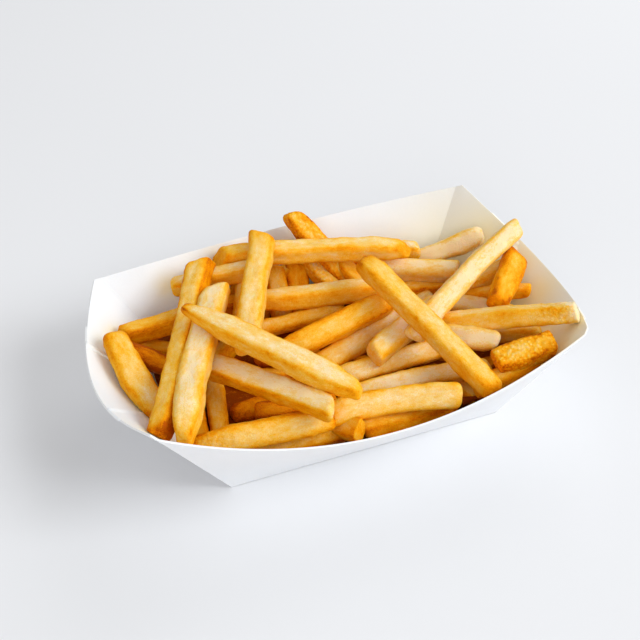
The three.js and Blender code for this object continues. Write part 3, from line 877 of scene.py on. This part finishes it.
# The bed: its foot keeps a margin to the walls, and so does its rim, at the height given first.
# Its top rises from BED_LOW at the middle by BED_RISE, with lumps of an amount and a frequency.
BED_SIDES = 72
BED_RINGS = 16
BED_CLEARANCE = 0.5
BED_FOOT_MARGIN = 2.4
BED_RIM = (17, 2.2)
BED_MIDDLE_TOP = 11.0
BED_LOW = 8.0
BED_RISE = 8.5
BED_LUMPS = (2.0, 0.12)
# How far the corners of its plan reach out of the circle that its sides touch.
BED_CORNER = 1.2
# The bed is coloured dark, as painted shade.
BED_SHADE_LEVEL = 1.1


def segment_gap(a0, a1, b0, b1):
    """Smallest distance between a segment and many others, sampled."""
    t = np.linspace(0, 1, 12)
    a = a0 + (a1 - a0) * t[:, None]
    ab = b1 - b0
    rel = a[:, None, :] - b0[None]
    s = np.clip((rel * ab[None]).sum(-1) / (ab ** 2).sum(-1)[None], 0, 1)
    near = b0[None] + ab[None] * s[..., None]
    return np.linalg.norm(a[:, None, :] - near, axis=-1).min()


def fits(point):
    wide, deep = room_at(point[2], END_MARGIN)
    x, y = abs(point[0]), abs(point[1])
    return x < wide and y < deep and x / wide + y / deep < CORNER_LIMIT and point[2] > FILLER_LOWEST


def filler_fries():
    """Ends of the fries that lie below the shown ones, laid at random without crossing any of them."""
    rng = random.Random(LAYING_SEED)
    starts = [fry[0] for fry in FRIES.values()] + [np.array((*p, 0.0)) for p in OPEN_GAP]
    stops = [fry[1] for fry in FRIES.values()] + [np.array((*p, OPEN_GAP_TOP)) for p in OPEN_GAP]
    made = [(np.array(a, dtype=float), np.array(b, dtype=float)) for a, b in REAR_FILLERS]
    for level, wanted in FILLER_LAYERS:
        room_x, room_y = room_at(level, MIDDLE_MARGIN)
        placed = 0
        for _ in range(FILLER_TRIES):
            if placed >= wanted:
                break
            heading = rng.uniform(0, math.pi)
            half = rng.uniform(*FILLER_HALF_LENGTHS)
            tilt = rng.uniform(-FILLER_TILT, FILLER_TILT)
            step = np.array([math.cos(heading), math.sin(heading), tilt]) * half
            middle = np.array([rng.uniform(-room_x, room_x), rng.uniform(-room_y, room_y),
                               level + rng.uniform(-1, 1)])
            a, b = middle - step, middle + step
            if not (fits(a) and fits(b)):
                continue
            if segment_gap(a, b, np.array(starts), np.array(stops)) < FILLER_GAP:
                continue
            starts.append(a)
            stops.append(b)
            made.append((a, b))
            placed += 1
    return made


def bed_mesh():
    """A low lumpy bed of potato on the tray's floor, so that no bare paper shows between the fries; its
    dark colour is painted shade.
    """
    floor = PAPER + BED_CLEARANCE
    wide, deep = room_at(*BED_RIM)
    vertices = [(0, 0, floor), (0, 0, BED_MIDDLE_TOP)]
    for k in range(BED_SIDES):
        around = k / BED_SIDES * math.tau
        c, s = math.cos(around), math.sin(around)
        stretch = min(1 / max(abs(c), abs(s)), BED_CORNER)
        x, y = c * stretch, s * stretch
        vertices.append((x * (BASE_HALF_X - BED_FOOT_MARGIN), y * (BASE_HALF_Y - BED_FOOT_MARGIN), floor))
        for r in range(1, BED_RINGS + 1):
            share = r / BED_RINGS
            px, py = x * wide * share, y * deep * share
            lump = BED_LUMPS[0] * noise.noise(Vector((px, py, 0)) * BED_LUMPS[1])
            vertices.append((px, py, BED_LOW + BED_RISE * share ** 2 + lump))
    step = BED_RINGS + 1
    faces = []
    for k in range(BED_SIDES):
        a = 2 + k * step
        b = 2 + (k + 1) % BED_SIDES * step
        faces += [(0, b, a), (a, b, b + BED_RINGS), (a, b + BED_RINGS, a + BED_RINGS), (1, a + 1, b + 1)]
        for r in range(1, BED_RINGS):
            faces.append((a + r, a + r + 1, b + r + 1, b + r))
    v = np.array(vertices, dtype=float)
    return v, faces, np.full(len(v), BED_SHADE_LEVEL), np.zeros(len(v)), v.copy()


def make_heap(name, meshes, material):
    """One object of several meshes, each of vertices, faces, browning with painted shade, crispness and
    grain.
    """
    vertices, faces, brown, crisp, grain = [], [], [], [], []
    first = 0
    for v, f, b, c, g in meshes:
        vertices.append(v)
        faces += [tuple(i + first for i in face) for face in f]
        brown.append(b)
        crisp.append(c)
        grain.append(g)
        first += len(v)
    return make_object(name, np.concatenate(vertices) * MM, faces, material,
                       dict(brown=np.concatenate(brown), crisp=np.concatenate(crisp),
                            grain=np.concatenate(grain)))


# ---------------------------------------------------------------- stage
# Name, place, what it faces, size, power in watts and colour.
LAMPS = [
    ("key", (2.19, -1.56, 2.0), (0, 0, 0.02), (1.8, 1.8), 73.5, (0.95, 0.98, 1.0)),
    ("front", (-0.75, -1.45, 0.95), (0, 0, 0.02), (1.2, 1.0), 9.2, (0.96, 0.985, 1.0)),
    ("rear", (0.8, 0.8, 0.85), (0.3, 0.35, 0), (0.8, 0.8), 3.4, (0.95, 0.98, 1.0)),
]
SKY_COLOUR = (1.0, 0.99, 0.98, 1)
SKY_STRENGTH = 0.51
# In metres: the floor's half size, and how far it lies under the tray.
FLOOR_HALF = 3
FLOOR_DROP = 0.0002


def add_area(name, place, target, size, power, colour):
    data = bpy.data.lights.new(name, "AREA")
    data.shape = "RECTANGLE"
    data.size, data.size_y = size
    data.energy = power
    data.color = colour
    lamp = bpy.data.objects.new(name, data)
    lamp.location = place
    lamp.rotation_mode = "QUATERNION"
    lamp.rotation_quaternion = (Vector(target) - Vector(place)).to_track_quat("-Z", "Y")
    bpy.context.collection.objects.link(lamp)


def add_stage():
    corners = [(x * FLOOR_HALF, y * FLOOR_HALF, 0) for x, y in ((-1, -1), (1, -1), (1, 1), (-1, 1))]
    floor = make_object("floor", corners, [(0, 1, 2, 3)], floor_material())
    floor.location.z = -FLOOR_DROP
    for lamp in LAMPS:
        add_area(*lamp)
    world = bpy.data.worlds.new("world")
    world.use_nodes = True
    background = world.node_tree.nodes["Background"]
    background.inputs["Color"].default_value = SKY_COLOUR
    background.inputs["Strength"].default_value = SKY_STRENGTH
    bpy.context.scene.world = world
    bpy.context.scene.view_settings.view_transform = "Standard"
    bpy.context.scene.view_settings.look = "None"


# ---------------------------------------------------------------- scene
add_camera()
potato = fry_material("fried_potato", DARKEST_FRY)
shaded_potato = fry_material("shaded_potato", BED_SHADE_COLOUR)
paper = paper_material()

tray = make_tray(paper)
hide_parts("tray")
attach(tray, "root")

# Every third column is enough of the wall to keep the fries off it.
wall = tray_columns()[::3]
shown = [fry_mesh(start, end, width, height, seed=SHOWN_SEEDS + i, **more)
         for i, (start, end, width, height, more) in enumerate(FRIES.values())]
shown = [(keep_inside(v, wall), *rest) for v, *rest in shown]
fries = make_heap("french_fries", shown, potato)
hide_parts("fries")
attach(fries, "root")

rng = random.Random(FILLER_SEED)
below = [fry_mesh(a, b, rng.uniform(*FILLER_WIDTHS), rng.uniform(*FILLER_HEIGHTS), seed=BELOW_SEEDS + i,
                  roll=rng.uniform(*FILLER_ROLLS), around=FILLER_AROUND, step=FILLER_STEP,
                  brown=rng.uniform(*FILLER_BROWNS))
         for i, (a, b) in enumerate(filler_fries())]
below = [(keep_inside(v, wall), *rest) for v, *rest in below]
beneath = make_heap("fries_beneath", below, potato)
# The bed takes the darker material, as painted shade in the gaps.
bed = make_heap("potato_bed_painted_shade", [bed_mesh()], shaded_potato)
for low in (beneath, bed):
    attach(low, "root")

add_stage()
